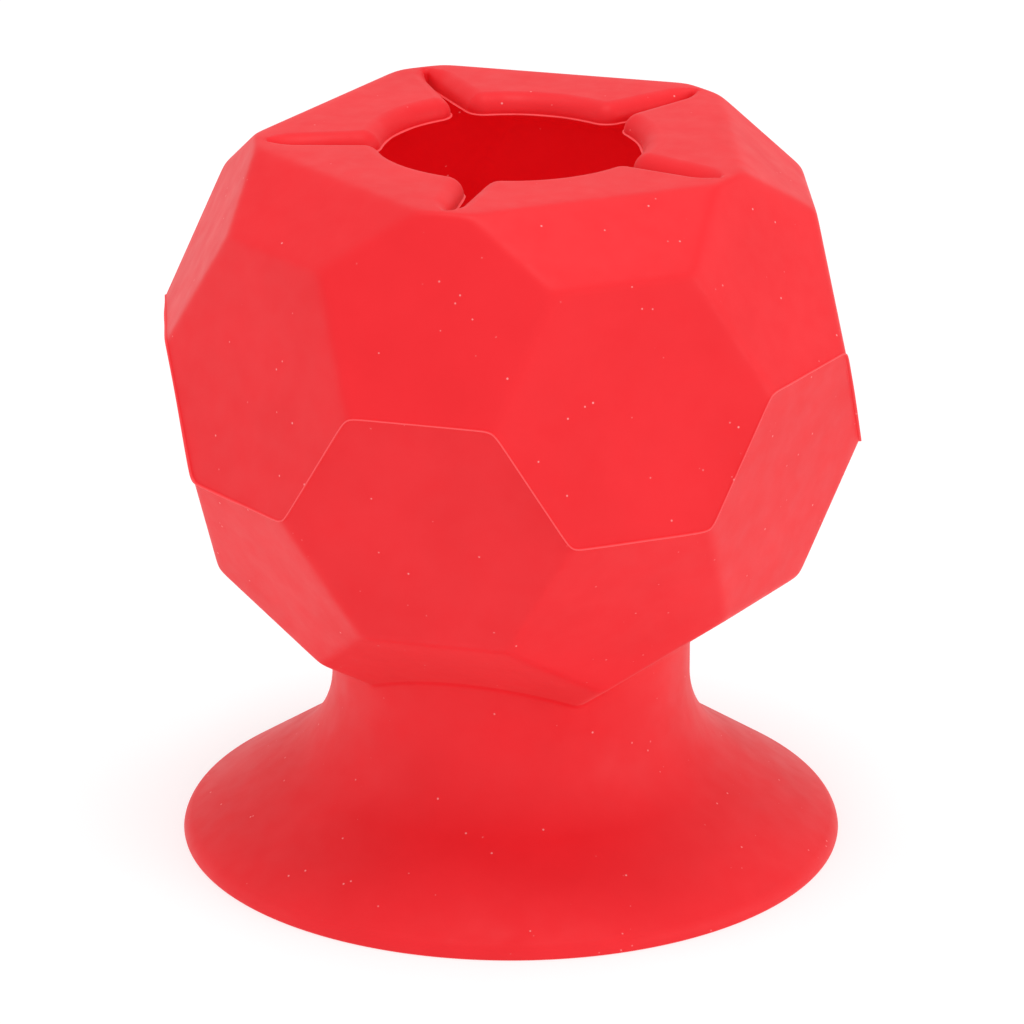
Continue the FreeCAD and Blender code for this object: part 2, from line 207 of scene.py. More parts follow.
class Half:
    """One half of the ball's skin, inside or outside: its facets, and the soft surface over them."""

    def __init__(self, scale, flat_height, opening):
        self.scale, self.flat_height, self.opening = scale, flat_height, opening
        whole = [pentagon(k) for k in range(SIDES)]
        whole += [hexagon(APEX, UPPER[k], UPPER[k + 1]) for k in range(SIDES)]
        whole += [hexagon(UPPER[k], LOWER[k + 1], UPPER[k + 1]) for k in range(SIDES)]
        middles = [np.mean(corners, axis=0) * scale for corners in whole]
        self.normals = unit(middles)
        self.offsets = np.linalg.norm(middles, axis=1)
        self.facets = [clip_below([c * scale for c in corners], flat_height) for corners in whole]

    def level(self, points):
        """How far outside the soft surface points are, the slope of that, and the skin's direction."""
        points = np.asarray(points, float)
        past = points @ self.normals.T - self.offsets
        height, run, rise = self.top(points)
        past = np.column_stack([past, points[:, 2] - height])
        most = past.max(axis=1, keepdims=True)
        share = np.exp((past - most) / EDGE_SOFTNESS)
        total = share.sum(axis=1, keepdims=True)
        share /= total
        level = (most + EDGE_SOFTNESS * np.log(total))[:, 0]
        sides = share[:, :-1] @ self.normals
        top_way = np.column_stack([run, rise])
        top_slope = np.column_stack([run / np.maximum(rise, 1e-2)[:, None], np.ones(len(rise))])
        slope = sides + share[:, -1:] * top_slope
        facing = unit(rise[:, None] * sides + share[:, -1:] * top_way + 1e-9 * sides)
        return level, slope, facing

    def top(self, points):
        """Height and direction of the flat top at each point, with the rounding along the opening."""
        count = len(points)
        if not self.opening:
            return np.full(count, self.flat_height), np.zeros((count, 2)), np.ones(count)
        inward, away = edge_distance(points[:, :2])
        frame_rw, r_axis, _ = slit_frame(points[:, :2])
        share = np.clip((SLIT_TIP_RADIUS - frame_rw[:, 0]) / ROUND_FADE, 0, 1)
        size = TIP_EDGE_ROUND + (TOP_EDGE_ROUND - TIP_EDGE_ROUND) * share * (2 - share)
        growth = -(TOP_EDGE_ROUND - TIP_EDGE_ROUND) * 2 * (1 - share) / ROUND_FADE * (share > 0)
        left = np.clip(1 - inward / size, 0, 1)
        rise = np.sqrt(1 - left**2)
        height = self.flat_height - size * (1 - rise)
        along = growth * ((1 - rise) * rise + left * (1 - left))
        return height, along[:, None] * r_axis - away * left[:, None], rise

    def project(self, points):
        """Moves points along the ball's radius onto the soft surface."""
        way = unit(points)
        with np.errstate(divide="ignore"):
            across = way @ self.normals.T
            reach = np.where(across > 1e-3, self.offsets / np.maximum(across, 1e-3), 1e9).min(axis=1)
            up = np.where(way[:, 2] > 1e-3, self.flat_height / np.maximum(way[:, 2], 1e-3), 1e9)
        reach = np.minimum(reach, up)
        for _ in range(NEWTON_PASSES):
            level, slope, _ = self.level(way * reach[:, None])
            reach = reach - np.clip(level / (slope * way).sum(axis=1), -1, 1)
        return way * reach[:, None]

    def lift(self, plan):
        """Points of the soft surface over places in plan."""
        points = at_height(plan, 0.0)
        points[:, 2] = self.top(points)[0]
        for _ in range(NEWTON_PASSES):
            level, slope, _ = self.level(points)
            points[:, 2] -= np.clip(level / slope[:, 2], -1, 1)
        return points


# ======== the opening
# A slit's side in the slit's own frame, r outward along it and w across it.
SLIT_END_CENTRE = np.array([SLIT_TIP_RADIUS - SLIT_TIP_HALF, 0.0])
SLIT_START = SLIT_END_CENTRE + (0, SLIT_TIP_HALF)
SLIT_ALONG = unit(np.array([MOUTH_RADIUS, SLIT_MOUTH_HALF]) - SLIT_START)
SLIT_ACROSS = np.array([SLIT_ALONG[1], -SLIT_ALONG[0]])


def corner_centre():
    """Middle of the rounding between a slit's side and the mouth."""
    base = SLIT_START + MOUTH_CORNER * SLIT_ACROSS
    b, c = base @ SLIT_ALONG, base @ base - (MOUTH_RADIUS + MOUTH_CORNER) ** 2
    return base + SLIT_ALONG * (-b - math.sqrt(b * b - c))


CORNER = corner_centre()
CORNER_ON_SLIT = CORNER - MOUTH_CORNER * SLIT_ACROSS
CORNER_ON_MOUTH = CORNER * MOUTH_RADIUS / (MOUTH_RADIUS + MOUTH_CORNER)
SLIT_LENGTH = (CORNER_ON_SLIT - SLIT_START) @ SLIT_ALONG


def slit_frame(plan):
    """Places in plan as (r, w) from the nearest slit, and the two axes of that frame."""
    angle = np.arctan2(plan[:, 1], plan[:, 0])
    nearest = FIRST + STEP * np.round((angle - FIRST) / STEP)
    r_axis = circle(nearest)
    w_axis = np.column_stack([-r_axis[:, 1], r_axis[:, 0]])
    r, w = (plan * r_axis).sum(axis=1), (plan * w_axis).sum(axis=1)
    side = np.where(w < 0, -1.0, 1.0)
    return np.column_stack([r, np.abs(w)]), r_axis, w_axis * side[:, None]


def edge_distance(plan):
    """Distance into the material from the opening's edge, and the way straight into the material."""
    p, r_axis, w_axis = slit_frame(plan)
    count = len(p)
    best = np.full(count, 1e3)
    away = np.tile([1.0, 0.0], (count, 1))

    def offer(distance, direction, valid):
        """Takes this stretch of the edge where it is the nearest so far."""
        nonlocal best, away
        nearer = valid & (distance < best)
        best = np.where(nearer, distance, best)
        away = np.where(nearer[:, None], direction, away)

    from_start = p - SLIT_START
    travel = from_start @ SLIT_ALONG
    beside_slit = (travel >= 0) & (travel <= SLIT_LENGTH)
    offer(from_start @ SLIT_ACROSS, np.tile(SLIT_ACROSS, (count, 1)), beside_slit)
    from_end = p - SLIT_END_CENTRE
    reach = lengths(from_end)
    offer(reach - SLIT_TIP_HALF, from_end / reach[:, None], travel < 0)
    from_corner = p - CORNER
    reach = lengths(from_corner)
    first, last = CORNER_ON_SLIT - CORNER, CORNER_ON_MOUTH - CORNER
    turn = first[0] * last[1] - first[1] * last[0]
    inside = (first[0] * from_corner[:, 1] - first[1] * from_corner[:, 0]) * turn >= 0
    inside &= (from_corner[:, 0] * last[1] - from_corner[:, 1] * last[0]) * turn >= 0
    offer(MOUTH_CORNER - reach, -from_corner / reach[:, None], inside)
    radius = lengths(p)
    mouth_side = CORNER_ON_MOUTH[0] * p[:, 1] - CORNER_ON_MOUTH[1] * p[:, 0] >= 0
    offer(radius - MOUTH_RADIUS, p / radius[:, None], mouth_side)
    return best, away[:, :1] * r_axis + away[:, 1:] * w_axis


# ======== building meshes
AUTO, SKIN = 0, 1            # a face's shading: its own direction, or the soft surface's
WELD_DIGITS = 4              # points that agree to this many digits of a millimetre are one
SHARP_EDGE = math.radians(38)


def placed(name, data):
    """A new object in the scene."""
    made = bpy.data.objects.new(name, data)
    bpy.context.scene.collection.objects.link(made)
    return made


class Builder:
    """Collects points, faces and the skin's directions for one closed mesh."""

    def __init__(self):
        self.points, self.facings, self.flash, self.found = [], [], [], {}
        self.faces, self.kinds = [], []

    # flash is how much painted highlight a point gets, the paler red that stands in for light on the thin
    # flash
    def add(self, points, facings=None, flash=0.0):
        """Indices of the points, with points that were there already used again."""
        out = []
        flash = np.broadcast_to(flash, len(points))
        for i, p in enumerate(np.asarray(points, float)):
            key = tuple(round(c, WELD_DIGITS) + 0.0 for c in p)
            at = self.found.get(key)
            if at is None:
                at = self.found[key] = len(self.points)
                self.points.append(p)
                self.facings.append(np.zeros(3))
                self.flash.append(float(flash[i]))
            if facings is not None:
                self.facings[at] = facings[i]
            out.append(at)
        return out

    def face(self, corners, kind):
        """One face, without corners that fell together."""
        kept = [c for i, c in enumerate(corners) if c != corners[i - 1]]
        if len(set(kept)) == len(kept) and len(kept) > 2:
            self.faces.append(kept)
            self.kinds.append(kind)

    def strip(self, first, second, kind, closed=True):
        """A band of faces between two rows of points."""
        count = len(first)
        for i in range(count if closed else count - 1):
            j = (i + 1) % count
            self.face([first[i], first[j], second[j], second[i]], kind)

    def fan(self, ring, hub, kind):
        """Faces from a ring to one point."""
        for i in range(len(ring)):
            self.face([ring[i - 1], ring[i], hub], kind)

    def rings(self, half, rows, way=1.0):
        """Bands of skin from row to row of the soft surface; the last row's indices."""
        before = None
        for row in rows:
            now = self.add(row, way * half.level(row)[2])
            if before:
                self.strip(before, now, SKIN)
            before = now
        return before

    def turn_outward(self, points, facings):
        """Turns the skin's faces the way the skin faces, and every other face to agree with them."""
        four = np.array([f[:3] + f[-1:] for f in self.faces])
        p = points[four]
        normal = np.cross(p[:, 2] - p[:, 0], p[:, 3] - p[:, 1])
        triangle = four[:, 2] == four[:, 3]
        sides = p[triangle, 1] - p[triangle, 0], p[triangle, 2] - p[triangle, 0]
        normal[triangle] = np.cross(*sides)
        wrong = (normal * facings[four[:, :3]].sum(axis=1)).sum(axis=1) < 0
        skin = np.array(self.kinds) == SKIN
        for i in np.flatnonzero(wrong & skin):
            self.faces[i] = self.faces[i][::-1]
        beside = {}
        for i, f in enumerate(self.faces):
            for a, b in zip(f, f[1:] + f[:1]):
                beside.setdefault((min(a, b), max(a, b)), []).append(i)
        done = skin.copy()
        queue = list(np.flatnonzero(skin))
        while queue:
            f = self.faces[queue.pop()]
            for a, b in zip(f, f[1:] + f[:1]):
                for j in beside[(min(a, b), max(a, b))]:
                    if done[j]:
                        continue
                    other = self.faces[j]
                    if (a, b) in zip(other, other[1:] + other[:1]):
                        self.faces[j] = other[::-1]
                    done[j] = True
                    queue.append(j)

    def make(self, name, flipped=False):
        """The finished object; flipped puts a piece worked out as an upper half into the lower one."""
        points = np.array(self.points)
        facings = np.array(self.facings)
        if flipped:
            points, facings = other_half(points), other_half(facings)
        self.turn_outward(points, facings)
        points = (points + (0, 0, CENTRE_HEIGHT)) * MM
        mesh = bpy.data.meshes.new(name)
        mesh.from_pydata(points.tolist(), [], self.faces)
        # the flash attribute says how much painted highlight each point gets
        flash = mesh.attributes.new("flash", "FLOAT", "POINT")
        flash.data.foreach_set("value", np.array(self.flash, np.float32))
        work = bmesh.new()
        work.from_mesh(mesh)
        for edge in work.edges:
            edge.smooth = edge.calc_face_angle(0) < SHARP_EDGE
        for face in work.faces:
            face.smooth = True
        work.to_mesh(mesh)
        work.free()
        corner = np.zeros(len(mesh.loops), np.int32)
        mesh.loops.foreach_get("vertex_index", corner)
        on_skin = np.repeat(self.kinds, [len(f) for f in self.faces])[:, None]
        mesh.normals_split_custom_set((facings[corner] * on_skin).tolist())
        return placed(name, mesh)


# ======== the ball's skin
RING_OFFSETS = (0.0, 0.1, 0.22, 0.38, 0.58, 0.84, 1.2, 1.7, 2.7)     # rings in from a facet's edge
INNER_RING_OFFSETS = (0.0, 0.3, 0.8, 1.6)
LAST_RING = 0.35             # the ring round a facet's middle, as a share of its outline
CAP_SPAN = 12                # the same offsets as shares of a level end
EDGE_PARTS = 28              # parts along an edge of a facet
INNER_EDGE_PARTS = 10
LONG_PARTS = 40              # parts along the flat top's long sides, and its short ones
SHORT_PARTS = 12
NEAR_CROSSING = 0.4          # how far before the crossing the seam's even stations end
FIN_BASE = 0.085             # half the moulding flash's width at its foot, and at its tip
FIN_TIP_HALF = 0.05
FIN_HEIGHT = 0.2
FIN_WAVES = ((0.05, 5, 1.1), (0.04, 13, 0.4), (0.02, 31, 2.0))       # height, waves round the ball, start
FIN_CREST = 0.002            # keeps the crest's points and those under it apart


def cosine_steps(count):
    """Shares from 0 to 1 that crowd towards both ends."""
    return (1 - np.cos(np.pi * np.arange(count + 1) / count)) / 2


def sample_edge(a, b, steps):
    """Points along an edge, the same ones whichever end comes first."""
    swap = tuple(np.round(a, WELD_DIGITS + 1)) > tuple(np.round(b, WELD_DIGITS + 1))
    first, last = (b, a) if swap else (a, b)
    points = first + np.outer(steps, last - first)
    return points[::-1] if swap else points


def fin_height(points):
    """How far the moulding flash stands out along the parting line."""
    turn = np.arctan2(points[:, 1], points[:, 0])
    return FIN_HEIGHT + sum(height * np.sin(count * turn + start) for height, count, start in FIN_WAVES)


def soft_parting(half, points):
    """The line where the two soft halves meet, near the sharp one."""
    points = np.array(points)
    for _ in range(10):
        own, _, own_way = half.level(points)
        other, _, other_way = half.level(other_half(points))
        other_way = back_from_other_half(other_way)
        cross = (own_way * other_way).sum(axis=1)
        det = 1 - cross**2
        a = (own - cross * other) / det
        b = (other - cross * own) / det
        points = points - a[:, None] * own_way - b[:, None] * other_way
    own_way = half.level(points)[2]
    other_way = back_from_other_half(half.level(other_half(points))[2])
    return points, own_way, other_way


def fin_base(half, plain, sharp):
    """Where a half's skin ends at the foot of the moulding flash."""
    line, own_way, other_way = soft_parting(plain, sharp)
    inward = -(other_way - (other_way * own_way).sum(axis=1)[:, None] * own_way)
    return half.project(line + FIN_BASE * unit(inward))


def zigzag_samples(scale):
    corners = [c * scale for c in PARTING_CORNERS]
    steps = cosine_steps(EDGE_PARTS)
    pairs = zip(corners, corners[1:] + corners[:1])
    return np.concatenate([sample_edge(a, b, steps)[:-1] for a, b in pairs])


def is_level(point, half):
    """Whether a facet's corner lies on its half's flat end."""
    return abs(point[2] - half.flat_height) < SAME


def edge_steps(a, b, half, is_inner):
    """Where an edge of a facet gets its points, as shares of it."""
    if is_level(a, half) and is_level(b, half):
        is_short = np.linalg.norm(a - b) < EDGE / 2
        if is_short and is_inner:
            return inner_short_steps(half)
        parts = SHORT_PARTS if is_short else LONG_PARTS
        return np.arange(parts + 1) / parts
    if on_parting(a, half.scale) and on_parting(b, half.scale):
        return cosine_steps(EDGE_PARTS)
    return cosine_steps(INNER_EDGE_PARTS if is_inner else EDGE_PARTS)


SEAM_APOTHEM = HINGE_APOTHEM + SEAM_OUTSET


def along_side(slit_reach):
    """Distance from the middle of a seam's side to where it is this far out along the next slit."""
    return (slit_reach - SEAM_APOTHEM * math.cos(HALF_STEP)) / math.sin(HALF_STEP)


def level_ends(half, side):
    """The ends of the short side that a half's flat end has across one slit."""
    return [p for p in half.facets[side % SIDES] if is_level(p, half)]


def short_side_reach(half):
    """Distance from the ball's axis to a flat end's short side."""
    return max(p[0] * math.cos(FIRST) + p[1] * math.sin(FIRST) for p in level_ends(half, 0))


def short_half_length(half):
    """Half the length of a flat end's short side."""
    first, second = level_ends(half, 0)
    return np.linalg.norm(first - second) / 2


def inner_short_steps(half):
    """The inside's short side has a point where the seam's side crosses it."""
    whole = short_half_length(half)
    along = along_side(short_side_reach(half))
    crossing = along * math.cos(HALF_STEP) - SEAM_APOTHEM * math.sin(HALF_STEP)
    share = (whole + crossing) / whole / 2
    share = min(max(share, 1 - share), 0.98)
    right = np.concatenate([np.linspace(0.5, share, 5)[:-1], np.linspace(share, 1, 3)])
    return np.concatenate([1 - right[::-1], right[1:]])


def add_facets(builder, half, plain, is_inner):
    """Fans over every facet, with rings crowded towards the soft edges."""
    offsets = INNER_RING_OFFSETS if is_inner else RING_OFFSETS
    for corners in half.facets:
        sharp, parting = [], []
        marks = [on_parting(c, half.scale) for c in corners]
        for i, a in enumerate(corners):
            j = (i + 1) % len(corners)
            steps = edge_steps(a, corners[j], half, is_inner)
            sharp.append(sample_edge(a, corners[j], steps)[:-1])
            parting += [marks[i]] + [marks[i] and marks[j]] * (len(steps) - 2)
        sharp, parting = np.concatenate(sharp), np.array(parting)
        rim = half.project(sharp)
        if is_inner:
            rim[parting] = soft_parting(plain, sharp[parting])[0]
        else:
            rim[parting] = fin_base(half, plain, sharp[parting])
        middle = np.mean(corners, axis=0)
        mids = [(a + corners[(i + 1) % len(corners)]) / 2 for i, a in enumerate(corners)]
        room = min(np.linalg.norm(m - middle) for m in mids)
        rings = [rim]
        for offset in offsets[1:]:
            rings.append(half.project(middle + (rim - middle) * (1 - offset / room)))
        rings.append(half.project(middle + (rim - middle) * LAST_RING))
        way = -1.0 if is_inner else 1.0
        last = builder.rings(half, rings, way)
        hub = builder.rings(half, [half.project(middle[None])], way)[0]
        builder.fan(last, hub, SKIN)


def add_parting(builder, outer, inner, plain, inner_plain, is_lower):
    """The flash along the parting line and the wall where the two halves meet."""
    sharp = zigzag_samples(1.0)
    line, own_way, other_way = soft_parting(plain, sharp)
    out = unit(own_way + other_way)
    aside = unit(own_way - other_way)
    real = other_half(line) if is_lower else line
    height = fin_height(real)[:, None]
    base = fin_base(outer, plain, sharp)
    side = line + out * height * 0.8 + aside * FIN_TIP_HALF
    edge = line + out * (height - 0.02) + aside * FIN_TIP_HALF * 0.7
    tip = line + out * height + aside * FIN_CREST
    inside = soft_parting(inner_plain, zigzag_samples(inner.scale))[0]
    # the flash values below set how much painted highlight each row of the parting flash gets, most at its
    # thin tip
    rings = [
        builder.add(base, outer.level(base)[2], flash=0.25),
        builder.add(side, flash=0.8),
        builder.add(edge, flash=1.0),
        builder.add(tip, flash=1.0),
        builder.add(line + aside * FIN_CREST),
        builder.add(inside, -inner.level(inside)[2]),
    ]
    for first, second in zip(rings, rings[1:]):
        builder.strip(first, second, AUTO)


def crease_ring(half, is_inner):
    """The flat top's outline in order: each short side, then the long side after it."""
    out = []
    for k in range(SIDES):
        pairs = []
        for side in (k, k + 1):
            slit = FIRST + STEP * side
            across = (-math.sin(slit), math.cos(slit), 0)
            pairs.append(sorted(level_ends(half, side), key=lambda p: p @ across))
        (start, end), (following, _) = pairs
        for a, b in ((start, end), (end, following)):
            out.append(sample_edge(a, b, edge_steps(a, b, half, is_inner))[:-1])
    ring = np.concatenate(out)
    return np.roll(half.project(ring), -SHORT_PARTS // 2, axis=0)


def side_to_plan(side, local):
    """Places beside a seam's side, (along, outward), as places in plan."""
    middle = FIRST + STEP * (side + 0.5)
    outward = np.array([math.cos(middle), math.sin(middle)])
    along = np.array([-outward[1], outward[0]])
    return np.outer(local[:, 0], along) + np.outer(local[:, 1], outward)


def seam_stations(inner):
    """Stations (along, outward) on the seam between the shell and one flap, from slit to slit."""
    crossing = along_side(short_side_reach(inner))
    corner = along_side(SHELF_RADIUS)
    inset = crossing - NEAR_CROSSING
    alongs = np.concatenate([
        np.linspace(0, inset, LONG_PARTS // 2 + 1)[:-1],
        np.linspace(inset, crossing, 3)[:-1],
        np.linspace(crossing, corner, 3),
    ])
    side = np.column_stack([alongs, np.full(len(alongs), SEAM_APOTHEM)])
    end = SHELF_RADIUS * np.array([math.sin(HALF_STEP), math.cos(HALF_STEP)])
    right = np.concatenate([side, [(side[-1] + end) / 2, end]])
    return np.concatenate([right[::-1] * (-1, 1), right[1:]])


LEDGE_STEPS = (0.08, 0.18, 0.3, 0.45, 0.6, 0.78)       # rings between the flat top's outline and the seam
UNDERSIDE = FLAT_OFFSET - FLAP_THICKNESS


def add_ledge(builder, outer, inner):
    """The flat top outside the flaps, the wall the flaps grow from, and the ceiling's edge inside."""
    crease = crease_ring(outer, False)
    stations = seam_stations(inner)[:-1]
    plan = np.concatenate([side_to_plan(k, stations) for k in range(SIDES)])
    seam = outer.lift(plan)
    between_them = [outer.lift(crease[:, :2] * (1 - share) + plan * share) for share in LEDGE_STEPS]
    last = builder.rings(outer, [crease, *between_them, seam])
    under = builder.add(at_height(plan, UNDERSIDE))
    builder.strip(last, under, AUTO)
    builder.strip(under, builder.add(crease_ring(inner, True)), AUTO)


def cap_ring(half, is_inner):
    """The outline of a half's level end, from the facets that reach it."""
    edges = []
    for corners in half.facets:
        ends = [p for p in corners if is_level(p, half)]
        if len(ends) == 2:
            middle = (ends[0] + ends[1]) / 2
            ends.sort(key=lambda p: middle[0] * p[1] - middle[1] * p[0])
            edges.append((math.atan2(middle[1], middle[0]), ends))
    edges.sort(key=lambda e: e[0])
    return half.project(np.concatenate([
        sample_edge(a, b, edge_steps(a, b, half, is_inner))[:-1] for _, (a, b) in edges
    ]))


def add_cap(builder, half, is_inner):
    """A closed flat end, as a fan."""
    ring = cap_ring(half, is_inner)
    way = -1.0 if is_inner else 1.0
    middle = np.array([0, 0, half.flat_height])
    shares = 1 - np.array(RING_OFFSETS[1:]) / CAP_SPAN
    further = [half.project(middle + (ring - middle) * share) for share in shares]
    last = builder.rings(half, [ring, *further], way)
    builder.fan(last, builder.add(middle[None], np.array([[0, 0, way]]))[0], SKIN)


# ======== the flaps
EDGE_ROWS = (0.04, 0.14, 0.3, 0.52, 0.8, 1.12, 1.5, 1.82, 2.05)      # rows of points in from the free edge
ROW_SLACK = 0.02             # a row's point counts if it is this close to its distance
SEAM_ROOM = (0.12, 0.06)     # clear of the seam's long sides, and of its short ones and the slits' lines
BEND_ROWS = np.arange(-0.55, 3.0, 0.3)       # inward from the bending line
BEND_SPACING = 0.7
PLATE_SPACING = 1.1          # between points of the rest of the flap
FLASH_REACH = 0.2            # how far the thin flash under a free edge stands out
FLASH_PROFILE = ((0.0, 0.13), (0.85, 0.085), (1.0, 0.05), (0.96, 0.0))       # share of that, height
FLASH_STUB = 0.01            # what is left of it at a slit's end
FLASH_FADE = (0.6, 2.5)      # it starts this far from the slit's end and grows over this length


def slit_to_side(points, mirrored):
    """(r, w) from the slit at a side's start, as (along, outward) beside that side."""
    c, s = math.cos(HALF_STEP), math.sin(HALF_STEP)
    outward = points[:, 0] * c + points[:, 1] * s
    along = -points[:, 0] * s + points[:, 1] * c
    return np.column_stack([-along if mirrored else along, outward])


def opening_half():
    """Half of a flap's free edge, from the slit's end to the middle of the mouth: points and ways in."""
    turns = np.linspace(0, np.pi / 2, 8)
    tip_ways = circle(turns)
    points, ways = [SLIT_END_CENTRE + SLIT_TIP_HALF * tip_ways[:-1]], [tip_ways[:-1]]
    travel = np.linspace(0, SLIT_LENGTH, 27)[:-1]
    points.append(SLIT_START + np.outer(travel, SLIT_ALONG))
    ways.append(np.tile(SLIT_ACROSS, (len(travel), 1)))
    first, last = CORNER_ON_SLIT - CORNER, CORNER_ON_MOUTH - CORNER
    start, end = math.atan2(first[1], first[0]), math.atan2(last[1], last[0])
    sweep = (end - start + math.pi) % (2 * math.pi) - math.pi
    turns = start + sweep * np.linspace(0, 1, 15)[:-1]
    round_ways = circle(turns)
    points.append(CORNER + MOUTH_CORNER * round_ways)
    ways.append(-round_ways)
    turns = np.linspace(math.atan2(CORNER_ON_MOUTH[1], CORNER_ON_MOUTH[0]), HALF_STEP, 17)
    mouth_ways = circle(turns)
    points.append(MOUTH_RADIUS * mouth_ways)
    ways.append(mouth_ways)
    return np.concatenate(points), np.concatenate(ways)


def flap_plan(inner):
    """The flap seen from above: its boundary, the ways in from its free edge, and rows of points inside."""
    free, free_ways = (
        np.concatenate([slit_to_side(half, False), slit_to_side(half, True)[::-1][1:]])
        for half in opening_half()
    )
    boundary = np.concatenate([free, seam_stations(inner)[::-1]])
    fill = [free + row * free_ways for row in EDGE_ROWS]
    plate_rows = np.arange(HINGE_APOTHEM - 3.6, MOUTH_RADIUS, -PLATE_SPACING)
    bend_alongs = np.arange(-12.6, 12.7, BEND_SPACING)
    plate_alongs = np.arange(-11.0, 11.1, PLATE_SPACING)
    for rows, alongs in ((HINGE_APOTHEM - BEND_ROWS, bend_alongs), (plate_rows, plate_alongs)):
        for outward in rows:
            fill.append(np.column_stack([alongs, np.full(len(alongs), outward)]))
    return boundary, len(free), free_ways, fill


def flap_mesh_plan(inner):
    """The flap's boundary, and the points and faces that fill it, seen from above."""
    boundary, free_count, free_ways, fill = flap_plan(inner)
    inside = []
    for number, points in enumerate(fill):
        distance = edge_distance(side_to_plan(0, points))[0]
        if number < len(EDGE_ROWS):
            keep = np.abs(distance - EDGE_ROWS[number]) < ROW_SLACK
        else:
            keep = distance > EDGE_ROWS[-1] + 0.25
        angle = np.abs(np.arctan2(points[:, 0], points[:, 1]))
        radius = np.linalg.norm(points, axis=1)
        across = radius * np.sin(HALF_STEP - angle)
        reach = radius * np.cos(HALF_STEP - angle)
        keep &= (across > SEAM_ROOM[1]) & (reach < SHELF_RADIUS - SEAM_ROOM[1])
        keep &= points[:, 1] < SEAM_APOTHEM - SEAM_ROOM[0]
        inside.append(points[keep])
    inside = np.concatenate(inside)
    everything = np.concatenate([boundary, inside])
    outline = list(range(len(boundary)))
    outcome = delaunay_2d_cdt([Vector(p) for p in everything], [], [outline], 1, 1e-5)
    spots = np.array([everything[origins[0]] for origins in outcome[3]])
    faces = [list(f) for f in outcome[2]]
    return boundary, free_count, free_ways, spots, faces


def add_flap(name, side, outer, plan):
    """One flap: its soft top, its flat underside, the walls between, and the flash along its free edge."""
    boundary, free_count, free_ways, spots, faces = plan
    builder = Builder()
    seen = side_to_plan(0, spots)
    top = outer.lift(seen)
    facing = outer.level(top)[2]
    turn = STEP * side

    def spun(points):
        return turned(points, turn)

    over = builder.add(spun(top), spun(facing))
    under = builder.add(spun(at_height(seen, UNDERSIDE)))
    for f in faces:
        builder.face([over[i] for i in f], SKIN)
        builder.face([under[i] for i in f][::-1], AUTO)
    edge_seen = side_to_plan(0, boundary)
    upper_edge = builder.add(spun(outer.lift(edge_seen)))
    lower_edge = builder.add(spun(at_height(edge_seen, UNDERSIDE)))
    count = len(boundary)
    for i in range(free_count - 1, count):
        j = (i + 1) % count
        builder.face([upper_edge[i], upper_edge[j], lower_edge[j], lower_edge[i]], AUTO)
    free_seen = edge_seen[:free_count]
    out = -side_to_plan(0, free_ways)
    reach = slit_frame(free_seen)[0][:, 0]
    share = np.clip((SLIT_TIP_RADIUS - FLASH_FADE[0] - reach) / FLASH_FADE[1], 0, 1)
    along, outward = boundary[:free_count].T
    wave = 0.75 + 0.25 * np.sin(1.3 * along + 0.7 * side) * np.cos(0.9 * outward)
    length = (FLASH_STUB + FLASH_REACH * share * wave)[:, None]
    rings = [upper_edge[:free_count]]
    # the flash values below set how much painted highlight the flash under the free edge gets
    for out_share, lift in FLASH_PROFILE:
        spot = at_height(free_seen + out * length * out_share, UNDERSIDE + lift)
        rings.append(builder.add(spun(spot), flash=share if out_share else 0.4 * share))
    rings.append(lower_edge[:free_count])
    for first, second in zip(rings, rings[1:]):
        builder.strip(first, second, AUTO, closed=False)
    for end in (0, free_count - 1):
        builder.face([ring[end] for ring in rings], AUTO)
    return builder.make(name)


# ======== the turned pieces
AROUND = 240                 # points round a turned piece
NECK_FILLET = 0.6
RECESS_RADIUS = 10           # the flat middle of the neck's upper end, under the ball


def arc(centre, radius, start, end, parts):
    """Points of an arc and the ways out from its middle."""
    turns = np.radians(np.linspace(start, end, parts + 1))
    ways = circle(turns)
    return np.array(centre) + radius * ways, ways


def ring_of(radius, height):
    """A ring round the axis, or with a direction's two parts, that direction all round."""
    return at_height(circle(np.linspace(0, 2 * np.pi, AROUND, endpoint=False)) * radius, height)


def lathe(name, profile, facings, skin):
    """A closed body turned from its profile, given from the axis round to the axis or as a loop."""
    builder = Builder()
    rings = []
    for (radius, height), facing in zip(profile, facings):
        ways = None if facing is None else ring_of(*facing)
        rings.append(builder.add(ring_of(radius, height - CENTRE_HEIGHT), ways))
    looped = profile[0][0] > 0
    for i in range(len(rings) if looped else len(rings) - 1):
        j = (i + 1) % len(rings)
        kind = SKIN if skin[i] and skin[j] else AUTO
        builder.strip(rings[i], rings[j], kind)
    return builder.make(name)


class Profile:
    """A profile put together from runs of points, with a direction at each point of the skin."""

    def __init__(self):
        self.points, self.facings, self.skin = [], [], []

    def run(self, points, facings=None):
        """Adds a run; a point that repeats the last one only gives it a direction."""
        for i, p in enumerate(points):
            facing = None if facings is None else facings[i]
            if self.points and np.linalg.norm(np.subtract(p, self.points[-1])) < SAME:
                if facing is not None:
                    self.facings[-1], self.skin[-1] = facing, True
                continue
            self.points.append(tuple(p))
            self.facings.append(facing)
            self.skin.append(facing is not None)


def between(a, b, parts):
    """Points along a straight line of the profile."""
    return [tuple(np.array(a) + (np.array(b) - a) * i / parts) for i in range(parts + 1)]


